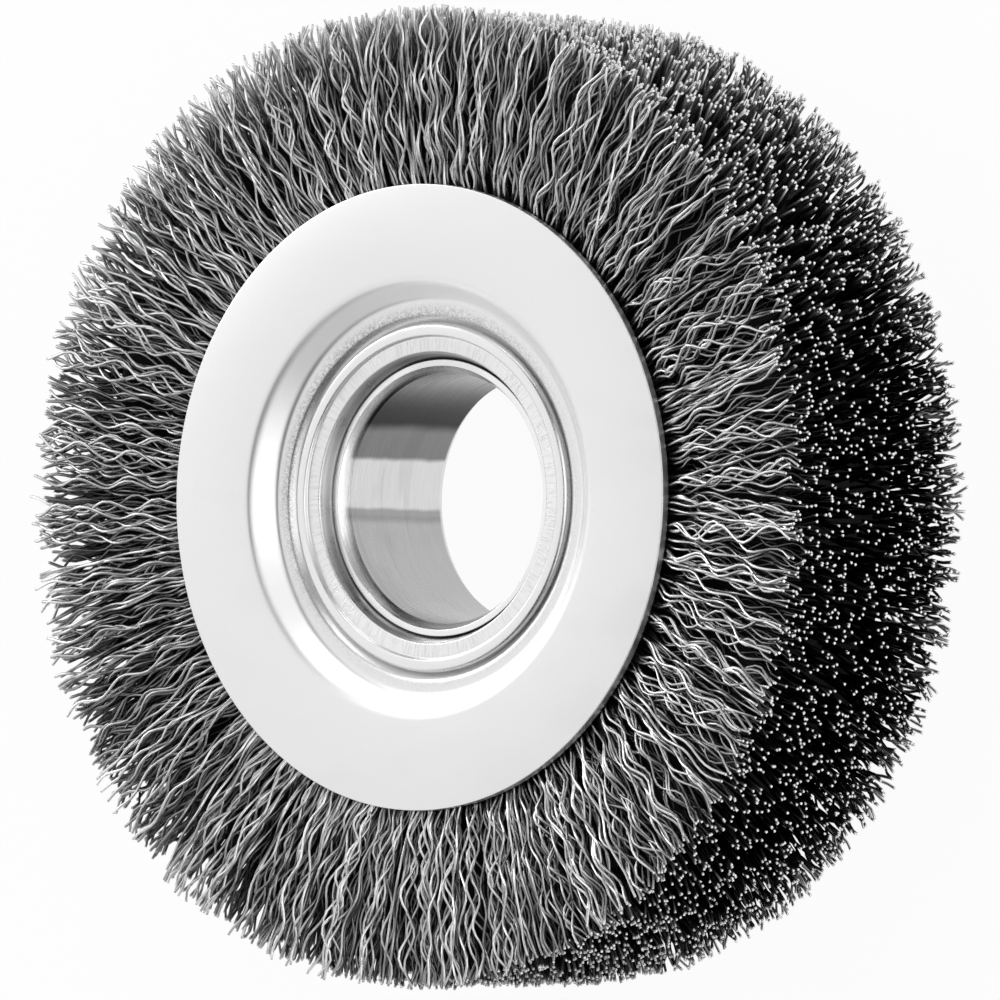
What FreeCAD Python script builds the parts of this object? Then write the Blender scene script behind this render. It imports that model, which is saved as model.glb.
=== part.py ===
import FreeCAD, Part

import math
import os
import random

# Wire wheel brush: crimped steel wire held between two dished plates on a hub.
# Millimetres. The brush lies flat, its axis is Z and its centre is the origin.

# Whole brush
brush_dia = 100.0
face_width = 29.0

# Side plates, pressed from sheet. A steep step goes down to a shelf, and a short one to the hub's seat.
plate_dia = 63.2
plates_over = 24.6
plate_sheet = 1.0
step_depth = 2.2
step_run = 1.75
shoulder_bend = 1.6
shelf_width = 1.55
seat_depth = 0.8
seat_run = 0.8

# Bush with the bore, a press fit in the sleeve
bore_dia = 25.4
bore_length = 14.3
bush_wall = 1.3
bush_chamfer_in = 0.65
bush_chamfer_deep = 1.25

# Sleeve, a tube with both ends rolled out over the plates
sleeve_wall = 1.0
flange_reach = 2.65
flange_thick = 0.8
flange_bevel = 0.45
lip_width = 1.55
lip_drop = 0.4
mouth_flare = 0.75
mouth_depth = 1.8

# Rings that the wires are hooked over
ring_height = 1.8
ring_width = 2.2
bend_thick = 1.7

# Wire rows: each is pressed solid between the plates and fans out into crimped ridges and pointed tufts
row_count = 3
root_flats = 24
tufts_per_flat = 5
tufts_across = 4
crimp_length = 5.8
crimp_swing = 0.45
ridge_height = 1.4
ridge_ragged = 0.3
tuft_length = 3.8
tuft_lean = 0.8
tip_ragged = 1.3
base_ragged = 0.9
shoulder_slack = 0.7

# Clearances
fit_gap = 0.05
ring_gap = 0.1
root_gap = 0.4
press_gap = 0.05
rim_gap = 0.4
row_gap = 0.3

bore_r = bore_dia / 2
bush_r = bore_r + bush_wall
sleeve_r = bush_r + sleeve_wall
flange_r = sleeve_r + flange_reach
seat_out_r = flange_r + fit_gap
shelf_in_r = seat_out_r + seat_run
shelf_out_r = shelf_in_r + shelf_width
shoulder_r = shelf_out_r + step_run
plate_r = plate_dia / 2
brush_r = brush_dia / 2

face_z = plates_over / 2
shelf_z = face_z - step_depth
seat_z = shelf_z - seat_depth
under_seat = plate_sheet * math.tan(math.atan2(seat_depth, seat_run) / 2)
under_step = plate_sheet * math.tan(math.atan2(step_depth, step_run) / 2)

root_r = sleeve_r + root_gap
ring_in_r = root_r + bend_thick
ring_out_r = ring_in_r + ring_height
tuft_foot = plate_r + rim_gap

tufts_round = root_flats * tufts_per_flat
tuft_base_r = brush_r - tuft_length


def rounded_outline(corners):
    """A closed outline in the RZ plane from (r, z, bend radius) corners: lines and tangent arcs."""
    points = [FreeCAD.Vector(r, 0, z) for r, z, bend in corners]
    edges = []
    starts = []
    ends = []
    for i, (r, z, bend) in enumerate(corners):
        here = points[i]
        back = (points[i - 1] - here).normalize()
        ahead = (points[(i + 1) % len(points)] - here).normalize()
        half_angle = back.getAngle(ahead) / 2
        cut = bend / math.tan(half_angle)
        starts.append(here + back * cut)
        ends.append(here + ahead * cut)
        if bend > 0:
            middle = (back + ahead).normalize()
            nearest = here + middle * (bend / math.sin(half_angle) - bend)
            edges.append(Part.Arc(starts[i], nearest, ends[i]).toShape())
    for i in range(len(points)):
        edges.append(Part.makeLine(ends[i - 1], starts[i]))
    return Part.Wire(Part.__sortEdges__(edges))


def turned(corners):
    """A solid of revolution about Z with the given outline."""
    face = Part.Face(rounded_outline(corners))
    return face.revolve(FreeCAD.Vector(), FreeCAD.Vector(0, 0, 1), 360)


def mirrored(corners):
    """Corners of an outline's upper half, followed by their mirror image below."""
    return corners + [(r, -z, bend) for r, z, bend in reversed(corners)]


def side_plate():
    """Stepped sheet disc of the front. Its underside runs parallel to its face."""
    hole_r = sleeve_r + fit_gap
    return turned([
        (hole_r, seat_z, 0),
        (seat_out_r, seat_z, 0),
        (shelf_in_r, shelf_z, 0),
        (shelf_out_r, shelf_z, 0),
        (shoulder_r, face_z, shoulder_bend),
        (plate_r, face_z, 0),
        (plate_r, face_z - plate_sheet, 0),
        (shoulder_r + under_step, face_z - plate_sheet, 0),
        (shelf_out_r + under_step, shelf_z - plate_sheet, 0),
        (shelf_in_r + under_seat, shelf_z - plate_sheet, 0),
        (seat_out_r + under_seat, seat_z - plate_sheet, 0),
        (hole_r, seat_z - plate_sheet, 0),
    ])


def hub_sleeve():
    """Tube through the plates. Each end flares out to a lip and a raised bead that clamps the plate."""
    bead_z = seat_z + flange_thick
    lip_z = bead_z - lip_drop
    lip_in_r = bush_r + mouth_flare
    lip_out_r = lip_in_r + lip_width
    return turned(mirrored([
        (bush_r, lip_z - mouth_depth, 0),
        (lip_in_r, lip_z, 0),
        (lip_out_r, lip_z, 0),
        (lip_out_r, bead_z, 0),
        (flange_r - flange_bevel, bead_z, 0),
        (flange_r, bead_z - flange_bevel, 0),
        (flange_r, seat_z, 0),
        (sleeve_r, seat_z, 0),
    ]))


def bore_bush():
    """Turned ring with the bore. Both ends have a flat face and a deep chamfer at the bore."""
    bore_z = bore_length / 2
    end_z = bore_z + bush_chamfer_deep
    return turned(mirrored([
        (bore_r, bore_z, 0),
        (bore_r + bush_chamfer_in, end_z, 0),
        (bush_r, end_z, 0),
    ]))


def wall_levels(edge, inward):
    """Levels of a row's side at the hub, in the plates and at its tips. Inward is its sign of clearance."""
    share = 2 * edge / row_count - 1
    pressed = inward * press_gap
    hub = share * (seat_z - plate_sheet) + pressed
    plates = share * (face_z - plate_sheet) + pressed
    tips = share * face_width / 2
    if abs(share) < 1:
        tips += inward * row_gap / 2
    return hub, plates, tips


def ring_middle(row):
    low = wall_levels(row, 1)[0]
    high = wall_levels(row + 1, -1)[0]
    return (low + high) / 2


def binding_ring(row):
    """Flat ring inside a row. Every wire of the row is bent under it."""
    ring = Part.makeCylinder(ring_out_r, ring_width)
    ring = ring.cut(Part.makeCylinder(ring_in_r, ring_width))
    ring.translate(FreeCAD.Vector(0, 0, ring_middle(row) - ring_width / 2))
    return ring


def point_at(r, turn, z):
    return FreeCAD.Vector(r * math.cos(turn), r * math.sin(turn), z)


def flat_ring(distance, z):
    """Corners of a polygon round the axis whose flats lie at the given distance from it."""
    step = 2 * math.pi / root_flats
    return [point_at(distance / math.cos(step / 2), step * k, z) for k in range(root_flats)]


def strip(inner, outer):
    """Triangles between two closed rings of points, where the outer ring has as many or more."""
    faces = []
    times = len(outer) // len(inner)
    half = (times + 1) // 2
    for k in range(len(inner)):
        here, after = inner[k], inner[(k + 1) % len(inner)]
        span = [outer[(k * times + i) % len(outer)] for i in range(times + 1)]
        corners = [(here, span[i], span[i + 1]) for i in range(half)]
        corners.append((here, span[half], after))
        corners += [(after, span[i], span[i + 1]) for i in range(half, times)]
        faces += [Part.Face(Part.makePolygon([a, b, c, a])) for a, b, c in corners]
    return faces


def solid_of(faces):
    shell = Part.makeShell(faces)
    shell.sewShape()
    solid = Part.makeSolid(shell)
    if solid.Volume < 0:
        solid.reverse()
    return solid


def fan_level(levels, r):
    """Level of a row's side between its plates' edge and its tips."""
    share = (r - tuft_foot) / (brush_r - tuft_foot)
    return levels[1] + (levels[2] - levels[1]) * share


def plain_side(levels):
    """Rings of points up a row's side where another row lies against it."""
    step = 2 * math.pi / tufts_round
    level = fan_level(levels, tuft_base_r)
    return [
        flat_ring(root_r, levels[0]),
        [point_at(tuft_base_r, step * k, level) for k in range(tufts_round)],
    ]


def ridged_side(levels, chance):
    """Rings of points up an open side: under the plate's steps, then over crimped ridges of wire."""
    step = 2 * math.pi / tufts_round
    outward = math.copysign(1, levels[1])
    rings = [
        flat_ring(root_r, levels[0]),
        flat_ring(seat_out_r + under_seat, levels[0]),
        flat_ring(shelf_in_r + under_seat, levels[0] + outward * seat_depth),
        flat_ring(shelf_out_r + under_step, levels[0] + outward * seat_depth),
        flat_ring(shoulder_r + under_step, levels[1]),
        [point_at(tuft_foot, step * k, levels[1]) for k in range(tufts_round)],
    ]
    bends = max(1, round((tuft_base_r - tuft_foot) / (crimp_length / 2)))
    for bend in range(1, bends + 1):
        r = tuft_foot + (tuft_base_r - tuft_foot) * bend / bends
        swing = crimp_swing if bend % 2 else -crimp_swing
        ring = []
        for k in range(tufts_round):
            ridge = ridge_height / 2 if k % 2 else -ridge_height / 2
            level = fan_level(levels, r) + outward * (ridge - chance.uniform(0, ridge_ragged))
            ring.append(point_at(r, step * k + swing / r, level))
        rings.append(ring)
    return rings


def tuft_faces(low_ring, high_ring, low_levels, high_levels, chance):
    """Four-sided tufts over the rim between a row's two sides, each with its own lean and length."""
    bases = [low_ring]
    for m in range(1, tufts_across):
        share = m / tufts_across
        line = [low * (1 - share) + high * share for low, high in zip(low_ring, high_ring)]
        bases.append([
            FreeCAD.Vector(place.x, place.y, 0) * (1 - chance.uniform(0, base_ragged) / tuft_base_r)
            + FreeCAD.Vector(0, 0, place.z + chance.uniform(-0.5, 0.5) * base_ragged)
            for place in line
        ])
    bases.append(high_ring)
    faces = []
    for k in range(tufts_round):
        after = (k + 1) % tufts_round
        for m in range(tufts_across):
            corners = [bases[m][k], bases[m][after], bases[m + 1][after], bases[m + 1][k]]
            middle = (corners[0] + corners[1] + corners[2] + corners[3]) * 0.25
            r = brush_r - chance.uniform(0, tip_ragged)
            turn = math.atan2(middle.y, middle.x) + chance.uniform(-tuft_lean, tuft_lean) / r
            share = (m + 0.5) / tufts_across
            level = low_levels[2] * (1 - share) + high_levels[2] * share + chance.uniform(-tuft_lean, tuft_lean)
            if abs(level) > face_width / 2 - 2 * tuft_lean:
                level = math.copysign(face_width / 2 - chance.uniform(0, shoulder_slack), level)
            tip = point_at(r, turn, level)
            for i in range(4):
                a, b = corners[i], corners[(i + 1) % 4]
                faces.append(Part.Face(Part.makePolygon([a, b, tip, a])))
    return faces


def ring_hollow(row):
    """Room for the binding ring inside a row."""
    half = ring_width / 2 + ring_gap
    middle = ring_middle(row)
    inner = (ring_in_r - ring_gap) * math.cos(math.pi / root_flats)
    outer = ring_out_r + ring_gap
    section = [(inner, middle - half), (outer, middle - half), (outer, middle + half), (inner, middle + half)]
    rings = [flat_ring(distance, z) for distance, z in section]
    faces = []
    for i in range(4):
        faces += strip(rings[i], rings[(i + 1) % 4])
    return solid_of(faces)


def wire_row(row):
    """One row of wire: a pressed root with its two sides, and tufts over its rim."""
    chance = random.Random(row + 1)
    low_levels = wall_levels(row, 1)
    high_levels = wall_levels(row + 1, -1)
    low_rings = ridged_side(low_levels, chance) if row == 0 else plain_side(low_levels)
    high_rings = ridged_side(high_levels, chance) if row == row_count - 1 else plain_side(high_levels)
    faces = strip(low_rings[0], high_rings[0])
    for rings in (low_rings, high_rings):
        for inner, outer in zip(rings, rings[1:]):
            faces += strip(inner, outer)
    faces += tuft_faces(low_rings[-1], high_rings[-1], low_levels, high_levels, chance)
    return solid_of(faces).cut(ring_hollow(row))


def save(name, shape):
    shape.exportStep("parts/" + name + ".step")


os.makedirs("parts", exist_ok=True)
front = side_plate()
rear = front.copy()
rear.rotate(FreeCAD.Vector(), FreeCAD.Vector(1, 0, 0), 180)
save("front_plate", front)
save("rear_plate", rear)
save("hub_sleeve", hub_sleeve())
save("bore_bush", bore_bush())
for row in range(row_count):
    save("wire_row_" + str(row + 1), wire_row(row))
    save("binding_ring_" + str(row + 1), binding_ring(row))
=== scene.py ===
import math

import bpy
import numpy as np
from mathutils import Matrix, Vector


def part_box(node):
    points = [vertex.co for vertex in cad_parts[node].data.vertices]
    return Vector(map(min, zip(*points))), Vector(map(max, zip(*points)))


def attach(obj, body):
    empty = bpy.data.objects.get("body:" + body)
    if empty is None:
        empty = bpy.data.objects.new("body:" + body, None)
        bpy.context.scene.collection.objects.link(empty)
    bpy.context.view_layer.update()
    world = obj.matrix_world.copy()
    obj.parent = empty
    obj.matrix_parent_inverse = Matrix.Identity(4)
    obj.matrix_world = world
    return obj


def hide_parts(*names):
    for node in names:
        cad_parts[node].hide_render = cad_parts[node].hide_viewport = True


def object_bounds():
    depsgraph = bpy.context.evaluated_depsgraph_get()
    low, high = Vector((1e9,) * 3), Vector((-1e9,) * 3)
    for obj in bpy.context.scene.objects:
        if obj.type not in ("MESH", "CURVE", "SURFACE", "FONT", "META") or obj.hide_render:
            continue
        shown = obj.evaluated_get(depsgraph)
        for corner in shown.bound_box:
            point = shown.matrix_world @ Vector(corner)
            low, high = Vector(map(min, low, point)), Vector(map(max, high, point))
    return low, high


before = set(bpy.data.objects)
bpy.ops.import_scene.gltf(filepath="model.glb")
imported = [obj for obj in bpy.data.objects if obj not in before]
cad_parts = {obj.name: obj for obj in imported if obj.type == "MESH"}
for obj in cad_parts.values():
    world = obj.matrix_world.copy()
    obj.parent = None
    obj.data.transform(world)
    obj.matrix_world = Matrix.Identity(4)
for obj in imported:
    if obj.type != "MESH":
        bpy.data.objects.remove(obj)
cad_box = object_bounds()

# The camera as fitted to the photo. Angles in degrees, picture places in pixels of the 1000 by 1000 frame.
view_off_axis = 38.75
view_roll = 1.63
axis_in_picture = (415.5, 497.1)
picture_side = 1000
focal_pixels = 12545
camera_distance = 1.264

# Sizes of the brush in metres, from the frame where it has them
plate_low, plate_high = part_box("front_plate")
sleeve_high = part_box("hub_sleeve")[1]
bush_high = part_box("bore_bush")[1]
brush_r = min(-cad_box[0][0], -cad_box[0][1], cad_box[1][0], cad_box[1][1])
half_width = min(-cad_box[0][2], cad_box[1][2])
fit_gap = 0.00005

# The bush and the sleeve round it
bore_r = 0.0127
chamfer_in = 0.00065
chamfer_deep = 0.00125
bush_r = bush_high.x
bush_end = bush_high.z
sleeve_wall = 0.001
sleeve_r = bush_r + sleeve_wall
flange_r = sleeve_high.x
bead_z = sleeve_high.z
bead_lean = 0.00005
lip_drop = 0.0004
lip_width = 0.00155
mouth_flare = 0.00075
mouth_depth = 0.0018
lip_z = bead_z - lip_drop
lip_in_r = bush_r + mouth_flare
lip_out_r = lip_in_r + lip_width

# The plates, from the seat under the sleeve's flange out to the flat face
sheet = 0.001
plate_r = plate_high.x
plate_face = plate_high.z
seat_face = plate_low.z + sheet
seat_run = 0.0008
shelf_width = 0.00155
step_depth = 0.0022
step_run = 0.00175
shelf_face = plate_face - step_depth
seat_out_r = flange_r + fit_gap
shelf_in_r = seat_out_r + seat_run
shelf_out_r = shelf_in_r + shelf_width
shoulder_r = shelf_out_r + step_run

# The wires. A wire is whole where it lies within face_depth of a face, and a short rim wire elsewhere.
wire_count = 13000
strand_size = 2
wire_r = 0.00015
wire_sides = 4
root_r = 0.0308
row_walls = (-1.0, -1 / 3, 1 / 3, 1.0)
face_depth = 0.003
face_crowding = 0.88
whole_points = 25
rim_points = 6
rim_length = 0.006
rim_share = 0.62
rim_calm = 0.55
crimp_shortest, crimp_longest = 0.0054, 0.0072
swing_mean, swing_spread = 0.00055, 0.00015
swing_least, swing_most = 0.0002, 0.00085
calm_root = 0.003
tuft_count = 1700
tuft_pull = 0.4
tuft_short = 0.0004
tip_ragged = 0.0004
tip_margin = 0.0001
end_length = 0.00025
end_size = 0.9
corner_reach = 0.0006
plate_clearance = 0.00025
face_clearance = 0.0004
seed = 11

# Depths over which the light on a wire falls off, below a face and below the rim
face_light_depth = 0.0012
rim_light_depth = 0.00012
rim_light_above = 0.0024

# The core, painted near black as the shade among the wires, stays this far inside the whole wires, off the sleeve, and
# into the rim wires
core_below_wires = 0.0012
core_off_sleeve = 0.0004
core_past_rim_roots = 0.0005

# Name, place, width and height in metres, and glow of each lamp
lamps = (
    ("key_lamp", (-0.53, 0.03, 0.66), 1.7, 1.0, 1.12),
    ("over_lamp", (0.38, 0.12, 0.74), 0.45, 0.45, 1.5),
    ("top_lamp", (0.05, 0.85, 0.35), 0.5, 0.5, 2.6),
    ("flank_lamp", (-0.76, 0.44, 0.35), 0.5, 0.5, 3.6),
    ("side_lamp", (0.82, -0.05, 0.49), 1.3, 0.9, 1.4),
)
floor_half = 6.0
floor_whiteness = 0.94


def make_mesh(name, points, triangles, smooth=None):
    """A mesh object from a table of points and one of triangles."""
    mesh = bpy.data.meshes.new(name)
    mesh.vertices.add(len(points))
    mesh.vertices.foreach_set("co", np.ascontiguousarray(points, np.float32).ravel())
    mesh.loops.add(triangles.size)
    mesh.loops.foreach_set("vertex_index", np.ascontiguousarray(triangles, np.int32).ravel())
    mesh.polygons.add(len(triangles))
    mesh.polygons.foreach_set("loop_start", np.arange(0, triangles.size, 3, dtype=np.int32))
    flags = np.ones(len(triangles), bool) if smooth is None else smooth
    mesh.polygons.foreach_set("use_smooth", flags)
    mesh.update(calc_edges=True)
    mesh.validate()
    piece = bpy.data.objects.new(name, mesh)
    bpy.context.scene.collection.objects.link(piece)
    return piece


def rounded(corners, steps):
    """Points of a closed outline in (r, z): each (r, z, bend) corner becomes an arc of that bend radius."""
    points = np.array([(r, z) for r, z, bend in corners])
    out = []
    for i, (r, z, bend) in enumerate(corners):
        here = points[i]
        back = points[i - 1] - here
        ahead = points[(i + 1) % len(points)] - here
        back = back / np.hypot(*back)
        ahead = ahead / np.hypot(*ahead)
        half = math.acos(np.clip(back @ ahead, -1, 1)) / 2
        cut = bend / math.tan(half)
        middle = (back + ahead) / np.hypot(*(back + ahead))
        centre = here + middle * bend / math.sin(half)
        first = here + back * cut - centre
        last = here + ahead * cut - centre
        for t in np.linspace(0, 1, steps):
            between = first * (1 - t) + last * t
            out.append(centre + between / np.hypot(*between) * bend)
    return np.array(out)


def lathe(name, corners, turns=192, steps=5):
    """Surface of revolution: the outline's point (r, z) goes to (r cos a, r sin a, z) for each angle a."""
    outline = rounded(corners, steps)
    count = len(outline)
    angle = np.linspace(0, 2 * math.pi, turns, endpoint=False)[:, None]
    x = np.cos(angle) * outline[:, 0]
    y = np.sin(angle) * outline[:, 0]
    z = np.broadcast_to(outline[:, 1], x.shape)
    points = np.stack([x, y, z], -1).reshape(-1, 3)
    a, p = np.meshgrid(np.arange(turns), np.arange(count), indexing="ij")
    b, q = (a + 1) % turns, (p + 1) % count
    corner = [a * count + p, b * count + p, b * count + q, a * count + q]
    first = np.stack([corner[0], corner[1], corner[2]], -1).reshape(-1, 3)
    second = np.stack([corner[0], corner[2], corner[3]], -1).reshape(-1, 3)
    return make_mesh(name, points, np.concatenate([first, second]))


def both_ends(corners):
    """Corners of an outline's upper half and their mirror image below."""
    return corners + [(r, -z, bend) for r, z, bend in reversed(corners)]


def side_plate(name, side):
    """Stepped disc of sheet. Its outline runs out over the face and back under it, a sheet's thickness lower."""
    edge_bend = 0.00012
    under_seat = sheet * math.tan(math.atan2(shelf_face - seat_face, seat_run) / 2)
    under_step = sheet * math.tan(math.atan2(step_depth, step_run) / 2)
    hole_r = sleeve_r + fit_gap
    corners = [
        (hole_r, seat_face, edge_bend),
        (seat_out_r, seat_face, 0.0002),
        (shelf_in_r, shelf_face, 0.0007),
        (shelf_out_r, shelf_face, 0.0011),
        (shoulder_r, plate_face, 0.0016),
        (plate_r, plate_face, 0.00014),
        (plate_r, plate_face - sheet, edge_bend),
        (shoulder_r + under_step, plate_face - sheet, 0.0006),
        (shelf_out_r + under_step, shelf_face - sheet, 0.0019),
        (shelf_in_r + under_seat, shelf_face - sheet, 0.0003),
        (seat_out_r + under_seat, seat_face - sheet, 0.0006),
        (hole_r, seat_face - sheet, edge_bend),
    ]
    if side > 0:
        corners = corners[::-1]
    else:
        corners = [(r, -z, bend) for r, z, bend in corners]
    return lathe(name, corners)


def hub_sleeve():
    """Tube with both ends flared to a lip and rolled into a bead over the plates."""
    corners = both_ends([
        (bush_r, lip_z - mouth_depth, 0.0008),
        (lip_in_r, lip_z, 0.0002),
        (lip_out_r - bead_lean, lip_z, 0.0001),
        (lip_out_r + 2 * bead_lean, bead_z, 0.0002),
        (flange_r, bead_z, 0.00045),
        (flange_r, seat_face, 0.0001),
        (sleeve_r, seat_face, 0.0001),
    ])
    return lathe("rolled_sleeve", corners[::-1])


def bore_bush():
    """Turned ring with a flat face and a deep chamfer at each end of its bore."""
    corners = both_ends([
        (bore_r, bush_end - chamfer_deep, 0.0001),
        (bore_r + chamfer_in, bush_end, 0.00008),
        (bush_r, bush_end, 0.00008),
    ])
    return lathe("turned_bush", corners[::-1])


def pressed_core():
    """Solid ring inside the wires. It is lower beside the plates, where the whole wires lie deeper."""
    beside_plates = plate_face * (1 - face_depth / half_width) - sheet - core_below_wires
    under_faces = half_width - face_depth - core_below_wires
    corners = both_ends([
        (sleeve_r + core_off_sleeve, beside_plates, 0.0003),
        (plate_r, beside_plates, 0.001),
        (brush_r - rim_length + core_past_rim_roots, under_faces, 0.0022),
    ])
    return lathe("pressed_wire_core", corners[::-1], turns=120)


def wire_field():
    """Every wire's own numbers. Wires come in strands that share a wave, and strands lean into tufts.

    Strands step round the brush by the golden share of a turn while they step across it, which spreads them evenly.
    Each wire is pulled to its nearest tuft's heart, and its tip lies at the brush's radius less what is worn or ragged.
    """
    chance = np.random.default_rng(seed)
    strands = wire_count // strand_size
    golden = 0.61803398875
    turn = 2 * math.pi * ((np.arange(strands) * golden + chance.uniform(0, 0.004, strands)) % 1)
    across = 2 * ((np.arange(strands) + 0.5) / strands) - 1
    across = np.sign(across) * np.abs(across) ** face_crowding + chance.normal(0, 0.01, strands)
    own = np.repeat(np.arange(strands), strand_size)
    count = len(own)
    field = {
        "turn": turn[own] + chance.normal(0, 0.009, count),
        "across": np.clip(across[own] + chance.normal(0, 0.025, count), -0.995, 0.995),
        "wave": chance.uniform(crimp_shortest, crimp_longest, strands)[own] * chance.normal(1, 0.02, count),
        "swing": np.clip(chance.normal(swing_mean, swing_spread, strands), swing_least, swing_most)[own],
        "phase": chance.uniform(0, 2 * math.pi, strands)[own] + chance.normal(0, 0.35, count),
        "plane": chance.uniform(0, math.pi, strands)[own] + chance.normal(0, 0.2, count),
        "slant": chance.normal(0, 0.035, strands)[own] + chance.normal(0, 0.02, count),
        "lean": chance.normal(0, 0.0007, count),
        "tone": np.clip(chance.normal(0.5, 0.22, count), 0, 1),
    }
    heart_turn = chance.uniform(-math.pi, math.pi, tuft_count)
    heart_across = chance.uniform(-1, 1, tuft_count)
    heart_short = np.abs(chance.normal(0, tuft_short, tuft_count))
    turn_now = (field["turn"] + field["slant"] * 0.4 + math.pi) % (2 * math.pi) - math.pi
    away_turn = (turn_now[:, None] - heart_turn + math.pi) % (2 * math.pi) - math.pi
    away = (away_turn * brush_r) ** 2 + ((field["across"][:, None] - heart_across) * half_width) ** 2
    nearest = away.argmin(1)
    every = np.arange(count)
    field["pull_turn"] = -away_turn[every, nearest]
    field["pull_across"] = (heart_across[nearest] - field["across"]) * half_width
    field["pull"] = chance.uniform(0.0, tuft_pull, tuft_count)[nearest]
    field["kept"] = chance.uniform(0, 1, count)
    ragged = np.abs(chance.normal(0, tip_ragged, count))
    wider = corner_reach * np.sin(2 * turn_now) ** 2
    field["tip"] = brush_r + wider - tip_margin - heart_short[nearest] - ragged
    return field


def wire_paths(field, pick, first_r, points, calm):
    """Centre lines of the picked wires, and how much light reaches each of their points.

    The radius grows evenly along a wire, with the last two points an end's length apart. The wires fan out from the
    plates' inner faces to the brush's full width as a sine, each swings about its line as a sine of the radius over
    the crimp length, and its tuft pulls at its end. Light is the larger of exp(-depth below the face / light depth)
    and exp(-depth below the rim / light depth), and goes deeper into the rim on the brush's upper side.
    """
    own = {key: values[pick][:, None] for key, values in field.items()}
    start = first_r[pick][:, None] if np.ndim(first_r) else first_r
    last = own["tip"] - end_length
    r = np.concatenate([start + (last - start) * np.linspace(0, 1, points - 1), own["tip"]], 1)
    plates = plate_face - sheet - plate_clearance
    far = np.clip((r - plate_r) / (brush_r - plate_r), 0, 1)
    spread = plates + (half_width - face_clearance - plates) * np.sin(far * math.pi / 2) ** 0.8
    clump = own["pull"] * calm * far ** 2.2
    turn = own["turn"] + own["slant"] * calm * far + own["pull_turn"] * clump
    z = own["across"] * spread + own["pull_across"] * clump + own["lean"] * far
    wave = own["swing"] * calm * np.sin(2 * math.pi * r / own["wave"] + own["phase"])
    wave = wave * np.clip((r - root_r) / calm_root, 0.3, 1)
    turn = turn + wave * np.cos(own["plane"]) / r
    z = z + wave * np.sin(own["plane"])
    edge = half_width - 1.5 * wire_r
    z = np.clip(z, -edge, edge)
    from_face = np.exp(-np.clip(spread - np.abs(z), 0, None) / face_light_depth)
    reach = rim_light_depth + rim_light_above * np.clip(1.7 * np.sin(own["turn"]) - 0.5, 0, 1)
    from_rim = np.exp(-(own["tip"] - r) / reach)
    light = np.maximum(from_face, from_rim)
    return np.stack([r * np.cos(turn), r * np.sin(turn), z], -1), light


def tubes(name, paths, tone, light):
    """A tube round each path: corner k of a ring lies at the angle 2 pi k / sides about the path.

    The ring is as long round as the wire's circle, and the last one is a little smaller.
    """
    wires, points, _ = paths.shape
    along = np.gradient(paths, axis=1)
    along /= np.linalg.norm(along, axis=2, keepdims=True)
    axis = np.array([0.0, 0.0, 1.0])
    side = np.cross(along, axis)
    side /= np.linalg.norm(side, axis=2, keepdims=True)
    up = np.cross(side, along)
    angle = 2 * math.pi * np.arange(wire_sides) / wire_sides
    ring_r = wire_r * math.pi / (wire_sides * math.sin(math.pi / wire_sides))
    ring = side[:, :, None] * np.cos(angle)[:, None] + up[:, :, None] * np.sin(angle)[:, None]
    burr = np.ones((points, 1, 1))
    burr[-1] = end_size
    corners = paths[:, :, None] + ring * ring_r * burr
    index = np.arange(wires * points * wire_sides).reshape(wires, points, wire_sides)
    a = index[:, :-1]
    b = np.roll(a, -1, axis=2)
    d = index[:, 1:]
    c = np.roll(d, -1, axis=2)
    walls = np.concatenate([np.stack([a, c, b], -1).reshape(-1, 3), np.stack([a, d, c], -1).reshape(-1, 3)])
    fan = [(0, k, k + 1) for k in range(1, wire_sides - 1)]
    tips = np.concatenate([index[:, -1][:, [i, k, j]] for i, j, k in fan])
    roots = np.concatenate([index[:, 0][:, [i, j, k]] for i, j, k in fan])
    triangles = np.concatenate([walls, tips, roots])
    smooth = np.arange(len(triangles)) < len(walls)
    piece = make_mesh(name, corners.reshape(-1, 3), triangles, smooth)
    own_tone = np.repeat(tone, points * wire_sides)
    own_light = np.repeat(light.ravel(), wire_sides)
    for key, values in (("tone", own_tone), ("light", own_light)):
        shade = piece.data.attributes.new(key, "FLOAT", "POINT")
        shade.data.foreach_set("value", values.astype(np.float32))
    cut = np.zeros(len(triangles), np.int32)
    cut[len(walls):len(walls) + len(tips)] = 1
    dress(piece, "drawn_wire", "cut_wire_end")
    piece.data.polygons.foreach_set("material_index", cut)
    return piece


def dress(piece, *names):
    """Puts the named materials on a piece."""
    for name in names:
        piece.data.materials.append(bpy.data.materials[name])


def finish_piece(piece, slot_name, *nodes):
    """Every new piece stands still with the brush and stands for its own solids."""
    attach(piece, "root")
    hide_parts(*nodes)


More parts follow.
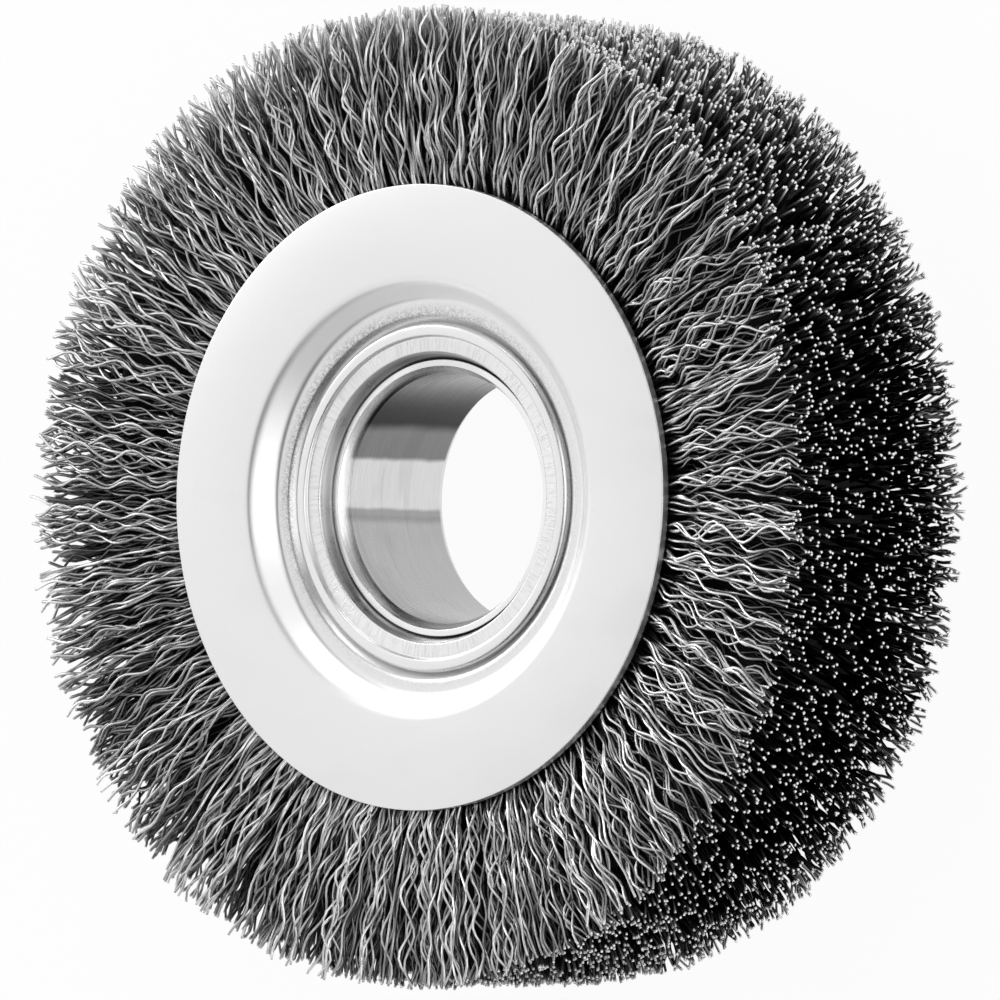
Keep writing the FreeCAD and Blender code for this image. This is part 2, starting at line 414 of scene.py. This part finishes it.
class Nodes:
    """Short calls for building a node tree."""

    def __init__(self, tree):
        self.tree = tree

    def add(self, kind, settings=None, **inputs):
        """A new node. An input is named as on the node with _ for a space, or i and its number."""
        node = self.tree.nodes.new(kind)
        for key, value in (settings or {}).items():
            setattr(node, key, value)
        for key, value in inputs.items():
            socket = int(key[1:]) if key[1:].isdigit() else key.replace("_", " ")
            self.feed(node.inputs[socket], value)
        return node

    def feed(self, socket, value):
        """Links a socket to the value's node, or sets it to a plain value."""
        if isinstance(value, bpy.types.NodeSocket):
            self.tree.links.new(value, socket)
        else:
            socket.default_value = value

    def math(self, operation, a, b=0.0):
        return self.add("ShaderNodeMath", {"operation": operation}, i0=a, i1=b).outputs[0]

    def times(self, a, b):
        return self.math("MULTIPLY", a, b)

    def ramp(self, value, low, high, to_low=0.0, to_high=1.0):
        """Goes smoothly from to_low to to_high while the value goes from low to high."""
        smooth = {"interpolation_type": "SMOOTHSTEP"}
        return self.add("ShaderNodeMapRange", smooth, i0=value, i1=low, i2=high, i3=to_low, i4=to_high).outputs[0]

    def between(self, value, rise, fall, top=1.0, rest=0.0):
        """A mask that climbs to top over the span rise, and sinks to the share rest of it over the span fall."""
        return self.times(self.ramp(value, *rise, 0.0, top), self.ramp(value, *fall, 1.0, rest))

    def mix(self, share, a, b):
        node = self.add("ShaderNodeMix", {"data_type": "RGBA"})
        self.feed(node.inputs[0], share)
        self.feed(node.inputs[6], a)
        self.feed(node.inputs[7], b)
        return node.outputs[2]

    def noise(self, vector, scale, detail=3.0, rough=0.5):
        node = self.add("ShaderNodeTexNoise", None, Vector=vector, Scale=scale, Detail=detail, Roughness=rough)
        return node.outputs[0]


def new_material(name, metallic=1.0):
    """A material with its Principled shader, and a helper for its nodes."""
    material = bpy.data.materials.new(name)
    material.use_nodes = True
    tree = material.node_tree
    tree.nodes.clear()
    helper = Nodes(tree)
    shader = helper.add("ShaderNodeBsdfPrincipled", None, Metallic=metallic)
    output = helper.add("ShaderNodeOutputMaterial")
    tree.links.new(shader.outputs[0], output.inputs[0])
    return helper, shader


def coat(n, shader, base, roughness):
    """Feeds the shader its colour and its roughness."""
    n.feed(shader.inputs["Base Color"], base)
    n.feed(shader.inputs["Roughness"], roughness)


def emboss(n, shader, height, strength, distance):
    """Raises the surface in the shading by a height pattern."""
    bump = n.add("ShaderNodeBump", None, Strength=strength, Distance=distance, Height=height)
    n.feed(shader.inputs["Normal"], bump.outputs[0])


def grey(value):
    return (value, value, value, 1.0)


def polar_group():
    """Radius, angle and height of a place, for patterns that go round the axis."""
    group = bpy.data.node_groups.new("round_the_axis", "ShaderNodeTree")
    for name in ("Radius", "Angle", "Height"):
        group.interface.new_socket(name, in_out="OUTPUT", socket_type="NodeSocketFloat")
    group.interface.new_socket("Place", in_out="OUTPUT", socket_type="NodeSocketVector")
    n = Nodes(group)
    place = n.add("ShaderNodeTexCoord").outputs["Object"]
    parts = n.add("ShaderNodeSeparateXYZ", None, Vector=place)
    x, y, z = parts.outputs
    square = n.math("ADD", n.times(x, x), n.times(y, y))
    out = n.add("NodeGroupOutput")
    n.feed(out.inputs["Radius"], n.math("SQRT", square))
    n.feed(out.inputs["Angle"], n.math("ARCTAN2", y, x))
    n.feed(out.inputs["Height"], z)
    n.feed(out.inputs["Place"], place)


def round_the_axis(n):
    """The group's outputs in a material."""
    node = n.add("ShaderNodeGroup")
    node.node_tree = bpy.data.node_groups["round_the_axis"]
    return node.outputs


def stretched(n, place, turns, outward, up):
    """Angle, radius and height, each times its own scale, as a place for a noise."""
    scales = (("Angle", turns), ("Radius", outward), ("Height", up))
    parts = [n.times(place[key], scale) for key, scale in scales]
    return n.add("ShaderNodeCombineXYZ", None, i0=parts[0], i1=parts[1], i2=parts[2]).outputs[0]


def zinc_material():
    """Satin zinc on pressed sheet: faint smudges and specks, a grained dip with painted shade at its foot, most on one
    side, a drawn step with a painted highlight and a sheared rim.
    """
    n, shader = new_material("zinc_sheet")
    place = round_the_axis(n)
    radius = place["Radius"]
    wiped = n.add("ShaderNodeMapping", None, Vector=place["Place"], Scale=(1.0, 2.6, 1.0), Rotation=(0, 0, 0.9))
    smudge = n.noise(wiped.outputs[0], 42, 3, 0.55)
    cloud = n.ramp(smudge, 0.5, 0.72)
    speck = n.ramp(n.noise(place["Place"], 2600, 2, 0.6), 0.66, 0.74)
    dip_r = flange_r + 0.0002
    in_dip = n.between(radius, (dip_r, dip_r + 0.0006), (dip_r + 0.0007, dip_r + 0.0022))
    grain = n.noise(place["Place"], 5600, 3, 0.7)
    # Painted shade: the dip's foot is darkened along its grain, most on the side toward the angle 2.2; the grain's bump
    # is the sheet's own.
    from_upper_left = n.math("COSINE", n.math("SUBTRACT", place["Angle"], 2.2))
    upper_left = n.ramp(from_upper_left, -0.4, 0.9, 0.3, 1.0)
    dip_grain_and_shade = n.times(n.times(in_dip, upper_left), n.ramp(grain, 0.36, 0.64))
    step_starts = (shelf_out_r - 0.00015, shelf_out_r + 0.00035)
    step_ends = (shoulder_r - 0.0004, shoulder_r + 0.0004)
    # Painted highlight: the step's slope is lighter in colour; its extra roughness is the drawn metal's own.
    drawn_step_and_highlight = n.between(radius, step_starts, step_ends)
    base = n.mix(n.times(cloud, 0.35), grey(0.66), grey(0.61))
    base = n.mix(n.times(speck, 0.25), base, grey(0.46))
    base = n.mix(n.times(dip_grain_and_shade, 0.8), base, grey(0.22))
    base = n.mix(drawn_step_and_highlight, base, grey(0.88))
    coat(n, shader, base, n.math("ADD", n.ramp(smudge, 0.3, 0.8, 0.3, 0.38), n.times(drawn_step_and_highlight, 0.2)))
    rim = n.ramp(radius, plate_r - 0.00012, plate_r - 0.00002)
    sheared = n.times(rim, n.noise(stretched(n, place, 150.0, 0.0, 300.0), 4.0, 2, 0.6))
    fine = n.noise(place["Place"], 5200, 2, 0.5)
    height = n.math("ADD", n.times(in_dip, grain), n.times(sheared, 2.0))
    height = n.math("ADD", height, n.times(fine, 0.12))
    emboss(n, shader, height, 0.35, 0.00006)


def sleeve_material():
    """Satin zinc on the rolled tube, with fine radial scratches on the lip and painted shade, in patches, on the
    mouth's inner wall.
    """
    n, shader = new_material("scratched_zinc_tube")
    place = round_the_axis(n)
    radius = place["Radius"]
    scratch = n.noise(stretched(n, place, 60.0, 300.0, 1.0), 1.6, 4, 0.7)
    lip = n.between(radius, (lip_in_r - 0.0002, lip_in_r), (lip_out_r - 0.0003, lip_out_r))
    marked = n.times(lip, n.ramp(scratch, 0.45, 0.7))
    # Painted shade: the mouth's inner wall, down in the recess, is darkened in patches.
    mouth_shade = n.ramp(radius, lip_in_r - 0.0003, lip_in_r - 0.0001, 1.0, 0.0)
    patch_noise = n.ramp(n.noise(place["Place"], 90, 2, 0.5), 0.35, 0.65, 0.35, 0.8)
    base = n.mix(n.times(marked, 0.55), grey(0.66), grey(0.4))
    base = n.mix(n.times(mouth_shade, patch_noise), base, grey(0.2))
    coat(n, shader, base, n.ramp(n.noise(place["Place"], 300, 3, 0.6), 0.3, 0.7, 0.24, 0.36))
    emboss(n, shader, n.times(lip, scratch), 0.4, 0.00008)


def bush_material():
    """Turned steel: fine grooves round the axis, a few deeper ones, dull blotches and a painted dark reflection in the
    bore.

    The painted reflection darkens over a span of angle and ends at a sharp edge. A narrow band and a faint tail of
    painted shade lie below it.
    """
    n, shader = new_material("grooved_steel")
    place = round_the_axis(n)
    around = n.add("ShaderNodeMapping", None, Vector=place["Place"], Scale=(25.0, 25.0, 420.0)).outputs[0]
    grooves = n.noise(around, 9.0, 5, 0.75)
    deep = n.ramp(n.noise(around, 2.2, 1, 0.4), 0.62, 0.66)
    blotch = n.ramp(n.noise(place["Place"], 160, 3, 0.55), 0.45, 0.75)
    uneven = n.times(n.noise(place["Place"], 250, 2, 0.5), 0.05)
    angle = n.math("ADD", place["Angle"], uneven)
    # Painted dark reflection on the bore's wall, set by angle round the axis, with painted shade in a narrow band and a
    # faint tail below it.
    dark_reflection = n.between(angle, (1.2, 2.4), (2.5, 2.62), rest=0.72)
    dark_reflection = n.times(dark_reflection, n.ramp(angle, 2.82, 2.87, 1.0, 0.0))
    reflection_band = n.between(angle, (-3.06, -3.02), (-2.98, -2.9), top=0.5)
    reflection_tail = n.between(angle, (-3.0, -2.9), (-1.5, -0.8), top=0.35)
    dark_reflection = n.math("ADD", dark_reflection, n.math("ADD", reflection_band, reflection_tail))
    in_bore = n.ramp(place["Radius"], bore_r + 0.0001, bore_r + 0.0004, 1.0, 0.0)
    dark_reflection = n.times(dark_reflection, in_bore)
    base = n.mix(n.times(grooves, 0.35), grey(0.76), grey(0.5))
    base = n.mix(n.times(deep, 0.2), base, grey(0.42))
    base = n.mix(n.times(blotch, 0.2), base, grey(0.45))
    base = n.mix(n.times(dark_reflection, 0.97), base, grey(0.01))
    coat(n, shader, base, n.ramp(grooves, 0.3, 0.7, 0.2, 0.34))
    emboss(n, shader, grooves, 0.25, 0.00004)


def wire_material():
    """Drawn steel wire. Each wire has its own tone, with stains, and turns black where little light reaches."""
    n, shader = new_material("drawn_wire")
    place = round_the_axis(n)
    tone = n.add("ShaderNodeAttribute", {"attribute_name": "tone"}).outputs["Fac"]
    light = n.add("ShaderNodeAttribute", {"attribute_name": "light"}).outputs["Fac"]
    patch_noise = n.noise(place["Place"], 900, 3, 0.6)
    base = n.mix(tone, grey(0.46), grey(0.9))
    base = n.mix(n.ramp(patch_noise, 0.5, 0.75, 0.0, 0.35), base, grey(0.3))
    base = n.mix(light, grey(0.02), base)
    coat(n, shader, base, n.ramp(patch_noise, 0.3, 0.75, 0.26, 0.38))


def cut_end_material():
    """Sheared ends of the wires, brighter than their sides."""
    n, shader = new_material("cut_wire_end")
    place = round_the_axis(n)
    patch_noise = n.noise(place["Place"], 1500, 2, 0.5)
    coat(n, shader, n.mix(patch_noise, grey(0.97), grey(0.82)), n.ramp(patch_noise, 0.3, 0.7, 0.26, 0.36))


def wire_pack_shade_material():
    """Painted shade: the inside of the wire pack, where no single wire is made out, coloured near black."""
    n, shader = new_material("wire_pack_shade", metallic=0.0)
    place = round_the_axis(n)
    strand = n.noise(stretched(n, place, 90.0, 400.0, 1500.0), 1.0, 3, 0.6)
    shader.inputs["Specular IOR Level"].default_value = 0.1
    # Painted shade: near black for the shade among the wires.
    coat(n, shader, n.mix(strand, grey(0.002), grey(0.02)), n.ramp(strand, 0.3, 0.7, 0.7, 0.9))


def ring_material():
    """Bare steel with soft stains."""
    n, shader = new_material("bare_ring_steel")
    place = round_the_axis(n)
    patch_noise = n.noise(place["Place"], 500, 3, 0.6)
    coat(n, shader, n.mix(patch_noise, grey(0.5), grey(0.3)), n.ramp(patch_noise, 0.3, 0.7, 0.35, 0.5))


def floor_material():
    """Pale floor that the camera and shiny things see as white, with the brush's shadow kept."""
    material = bpy.data.materials.new("pale_floor")
    material.use_nodes = True
    tree = material.node_tree
    tree.nodes.clear()
    n = Nodes(tree)
    path = n.add("ShaderNodeLightPath").outputs
    mirrored = n.math("MAXIMUM", path["Is Glossy Ray"], path["Is Transmission Ray"])
    seen = n.math("MAXIMUM", path["Is Camera Ray"], mirrored)
    texture = n.noise(n.add("ShaderNodeTexCoord").outputs["Object"], 30, 3, 0.5)
    plain = n.add("ShaderNodeBsdfDiffuse", None, Color=n.mix(texture, grey(0.8), grey(0.82))).outputs[0]
    white = n.add("ShaderNodeEmission", None, Color=grey(1.0), Strength=1.0).outputs[0]
    mixed = n.add("ShaderNodeMixShader", None, i0=n.times(seen, floor_whiteness), i1=plain, i2=white)
    output = n.add("ShaderNodeOutputMaterial")
    tree.links.new(mixed.outputs[0], output.inputs[0])
    return material


def make_camera():
    """Looks along the fitted direction. Its picture's centre lies off the bore axis as in the photo."""
    off, roll = math.radians(view_off_axis), math.radians(view_roll)
    axis = Vector((-math.sin(off) * math.cos(roll), -math.sin(off) * math.sin(roll), -math.cos(off)))
    right = Vector((0, -1, 0)).cross(axis).normalized()
    up = axis.cross(right)
    from_camera = Matrix((right, up, axis))
    middle = picture_side / 2
    spot = Vector((axis_in_picture[0] - middle, axis_in_picture[1] - middle, focal_pixels))
    plate_centre = spot / focal_pixels * camera_distance
    place = from_camera @ (-plate_centre) + Vector((0, 0, plate_face))
    rows = [from_camera @ Vector(v) for v in ((1, 0, 0), (0, -1, 0), (0, 0, -1))]
    turned = Matrix(rows).transposed().to_4x4()
    data = bpy.data.cameras.new("camera")
    data.sensor_width = 36
    data.lens = focal_pixels * data.sensor_width / picture_side
    data.clip_end = 20
    camera = bpy.data.objects.new("camera", data)
    camera.matrix_world = Matrix.Translation(place) @ turned
    bpy.context.scene.collection.objects.link(camera)
    bpy.context.scene.camera = camera


def add_lamp(name, place, wide, tall, glow):
    """A soft lamp that faces the brush. Its watts are glow times pi times its area."""
    data = bpy.data.lights.new(name, "AREA")
    data.shape = "RECTANGLE"
    data.size = wide
    data.size_y = tall
    data.energy = glow * math.pi * wide * tall
    lamp = bpy.data.objects.new(name, data)
    place = Vector(place)
    lamp.matrix_world = Matrix.Translation(place) @ place.to_track_quat("Z", "Y").to_matrix().to_4x4()
    bpy.context.scene.collection.objects.link(lamp)


def make_stage():
    """Floor under the lying brush, lamps round it and a sky that is bright near the floor and dim above."""
    signs = ((-1, -1), (1, -1), (1, 1), (-1, 1))
    points = np.array([(x * floor_half, y * floor_half, -half_width) for x, y in signs])
    floor = make_mesh("floor", points, np.array([(0, 1, 2), (0, 2, 3)]))
    floor.data.materials.append(floor_material())
    for lamp in lamps:
        add_lamp(*lamp)
    world = bpy.data.worlds.new("studio")
    bpy.context.scene.world = world
    world.use_nodes = True
    sky = Nodes(world.node_tree)
    direction = sky.add("ShaderNodeTexCoord").outputs["Generated"]
    height = sky.add("ShaderNodeSeparateXYZ", None, Vector=direction).outputs[2]
    background = world.node_tree.nodes["Background"]
    background.inputs[0].default_value = grey(1.0)
    sky.feed(background.inputs[1], sky.ramp(height, 0.12, 0.5, 1.1, 0.08))


def make_metal():
    """Plates, sleeve and bush."""
    zinc_material()
    sleeve_material()
    bush_material()
    for name, side, node in (("pressed_plate_front", 1, "front_plate"), ("pressed_plate_rear", -1, "rear_plate")):
        plate = side_plate(name, side)
        dress(plate, "zinc_sheet")
        finish_piece(plate, "zinc_plate", node)
    sleeve = hub_sleeve()
    dress(sleeve, "scratched_zinc_tube")
    finish_piece(sleeve, "zinc_sleeve", "hub_sleeve")
    bush = bore_bush()
    dress(bush, "grooved_steel")
    finish_piece(bush, "turned_steel", "bore_bush")


def make_wires():
    """Rows of wire: whole wires near the two faces, shorter ends over the rim and a pressed core painted near black as
    shade.

    The whole wires of a row are dealt out to two pieces in turn, which keeps each piece's triangles few.
    """
    wire_material()
    cut_end_material()
    wire_pack_shade_material()
    field = wire_field()
    depth = (1 - np.abs(field["across"])) * half_width
    near_face = depth < face_depth
    row = np.digitize(field["across"], row_walls[1:-1])
    deal = np.arange(len(depth)) % 2

    def wire_piece(name, node, pick, first_r, points, calm):
        paths, light = wire_paths(field, pick, first_r, points, calm)
        finish_piece(tubes(name, paths, field["tone"][pick], light), "crimped_wire", node)

    for k in range(len(row_walls) - 1):
        node = "wire_row_" + str(k + 1)
        row_name = "row_" + str(k + 1)
        for part, ending in enumerate(("_outer_wires", "_outer_wires_between")):
            pick = np.flatnonzero((row == k) & near_face & (deal == part))
            if len(pick):
                wire_piece(row_name + ending, node, pick, root_r, whole_points, 1.0)
        pick = np.flatnonzero((row == k) & ~near_face & (field["kept"] < rim_share))
        wire_piece(row_name + "_rim_wires", node, pick, field["tip"] - rim_length, rim_points, rim_calm)
    core = pressed_core()
    # The core's near-black colour is painted shade.
    dress(core, "wire_pack_shade")
    finish_piece(core, "crimped_wire", "wire_row_1", "wire_row_2", "wire_row_3")


def dress_rings():
    """The binding rings stay as the frame has them, in bare steel."""
    ring_material()
    for name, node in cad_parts.items():
        if name.startswith("binding_ring"):
            node.data.materials.clear()
            dress(node, "bare_ring_steel")


polar_group()
make_metal()
make_wires()
dress_rings()
make_stage()
make_camera()
bpy.context.scene.view_settings.view_transform = "Standard"
